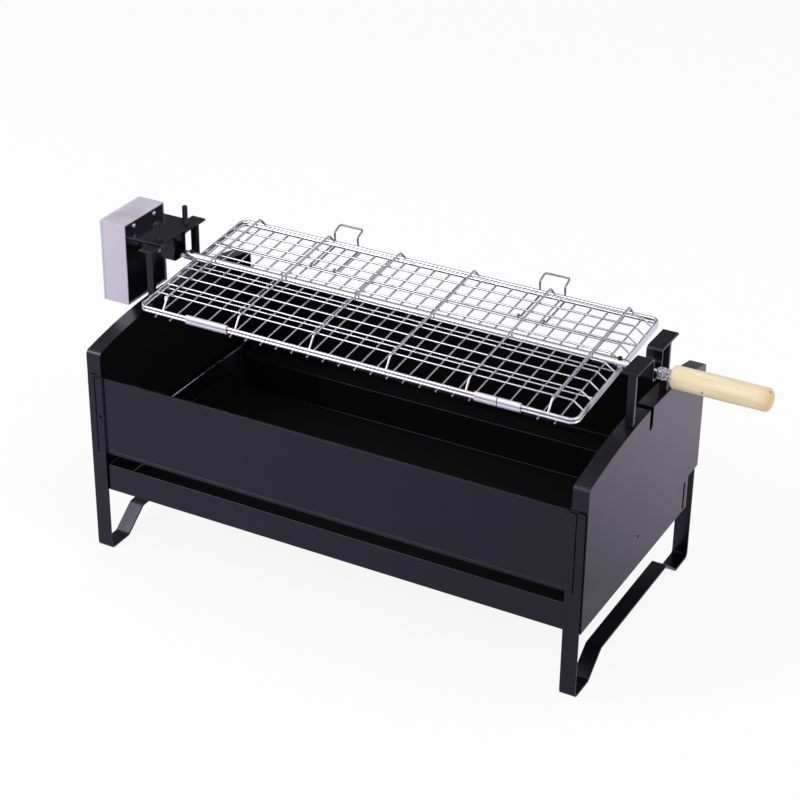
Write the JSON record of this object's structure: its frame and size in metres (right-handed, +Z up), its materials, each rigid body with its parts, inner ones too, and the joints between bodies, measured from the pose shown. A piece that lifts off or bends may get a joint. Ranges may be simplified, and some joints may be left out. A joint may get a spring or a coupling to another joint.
{
  "type": "rotisserie spit roaster",
  "caption": "Tabletop charcoal roaster: black firebox on bent strip legs, with a hinged wire basket on a spit that a hang-on gear motor turns; wooden handle.",
  "frame": {"origin": "on the ground, under the middle of the outer box", "axes": "+X along the spit from the motor to the wooden handle, +Y from the front panel to the back panel, +Z up"},
  "size_m": [0.7846, 0.3116, 0.3553],
  "materials": {
    "enamel": "glossy black baked enamel on sheet steel",
    "brushed_sheet": "bare brushed stainless sheet",
    "zinc": "zinc plated steel",
    "brass": "turned brass",
    "nylon": "white moulded nylon",
    "black_plastic": "black moulded plastic",
    "black_rubber": "black moulded rubber",
    "chrome_wire": "bright chrome plate",
    "pale_wood": "pale turned softwood, sanded",
    "black_screw": "black oxide screw"
  },
  "bodies": {
    "stand": {"left_end_panel": "enamel", "right_end_panel": "enamel", "front_panel": "enamel", "back_panel": "enamel", "left_leg": "enamel", "right_leg": "enamel", "left_tray_runner": "enamel", "right_tray_runner": "enamel", "left_saddle": "enamel", "right_saddle": "enamel", "left_front_upright": "enamel", "left_rear_upright": "enamel", "right_front_upright": "enamel", "right_rear_upright": "enamel", "front_hanger_post": "enamel", "rear_hanger_post": "enamel", "motor_bracket": "enamel", "motor_cover": "brushed_sheet", "front_cover_screw": "zinc", "rear_cover_screw": "zinc", "gear_plate": "zinc", "motor_can": "zinc", "idler_pin": "zinc", "output_bush": "brass", "switch_bezel": "black_plastic", "cord_gland": "black_rubber"},
    "tray": {"ash_tray": "enamel"},
    "spit": {"spit_rod": "chrome_wire", "handle_ferrule": "chrome_wire", "wooden_handle": "pale_wood", "left_sleeve": "chrome_wire", "right_sleeve": "chrome_wire", "upper_border": "chrome_wire", "upper_rib_1": "chrome_wire", "upper_rib_2": "chrome_wire", "upper_rib_3": "chrome_wire", "upper_rib_4": "chrome_wire", "upper_rib_5": "chrome_wire", "upper_rib_6": "chrome_wire", "upper_long_wire_1": "chrome_wire", "upper_long_wire_2": "chrome_wire", "upper_long_wire_3": "chrome_wire", "upper_long_wire_4": "chrome_wire", "upper_long_wire_5": "chrome_wire", "upper_long_wire_6": "chrome_wire", "upper_long_wire_7": "chrome_wire", "upper_long_wire_8": "chrome_wire", "upper_long_wire_9": "chrome_wire", "upper_long_wire_10": "chrome_wire", "left_set_screw": "black_screw", "right_set_screw": "black_screw", "left_hinge_clip": "chrome_wire", "right_hinge_clip": "chrome_wire"},
    "lower_half": {"lower_basket": "chrome_wire"},
    "left_latch_bail": {"left_latch": "chrome_wire"},
    "right_latch_bail": {"right_latch": "chrome_wire"},
    "output_shaft": {"output_gear": "zinc"},
    "idler": {"idler_gear": "nylon"},
    "motor_rotor": {"motor_pinion": "brass"},
    "rocker": {"switch_rocker": "black_plastic"}
  },
  "joints": [
    {"name": "tray_slide", "type": "slide", "parent": "stand", "child": "tray", "axis": [0, -1, 0], "range_m": [0, 0.2]},
    {"name": "spit_turn", "type": "hinge", "parent": "stand", "child": "spit", "pos_m": [0, 0.0014, 0.3095], "axis": [1, 0, 0], "continuous": true},
    {"name": "basket_open", "type": "hinge", "parent": "spit", "child": "lower_half", "pos_m": [-0.03235, -0.10306, 0.28824], "axis": [-1, 0, 0], "range_deg": [0, 45]},
    {"name": "left_latch_swing", "type": "hinge", "parent": "lower_half", "child": "left_latch_bail", "pos_m": [-0.1565, 0.05728, 0.30276], "axis": [-1, 0, 0], "range_deg": [0, 100]},
    {"name": "right_latch_swing", "type": "hinge", "parent": "lower_half", "child": "right_latch_bail", "pos_m": [0.10135, 0.05728, 0.30276], "axis": [-1, 0, 0], "range_deg": [0, 100]},
    {"name": "output_turn", "type": "hinge", "parent": "stand", "child": "output_shaft", "pos_m": [-0.3, 0.0014, 0.3095], "axis": [1, 0, 0], "continuous": true},
    {"name": "idler_turn", "type": "hinge", "parent": "stand", "child": "idler", "pos_m": [-0.36, 0.01689, 0.28738], "axis": [1, 0, 0], "continuous": true},
    {"name": "motor_turn", "type": "hinge", "parent": "stand", "child": "motor_rotor", "pos_m": [-0.37, 0.0014, 0.2732], "axis": [1, 0, 0], "continuous": true},
    {"name": "switch_rock", "type": "hinge", "parent": "stand", "child": "rocker", "pos_m": [-0.386, 0.0014, 0.322], "axis": [0, -1, 0], "range_deg": [0, 14]}
  ],
  "couplings": [
    {"joint": "output_turn", "follows": "spit_turn", "ratio": 1},
    {"joint": "idler_turn", "follows": "spit_turn", "ratio": -4.4},
    {"joint": "motor_turn", "follows": "spit_turn", "ratio": 18.7}
  ]
}
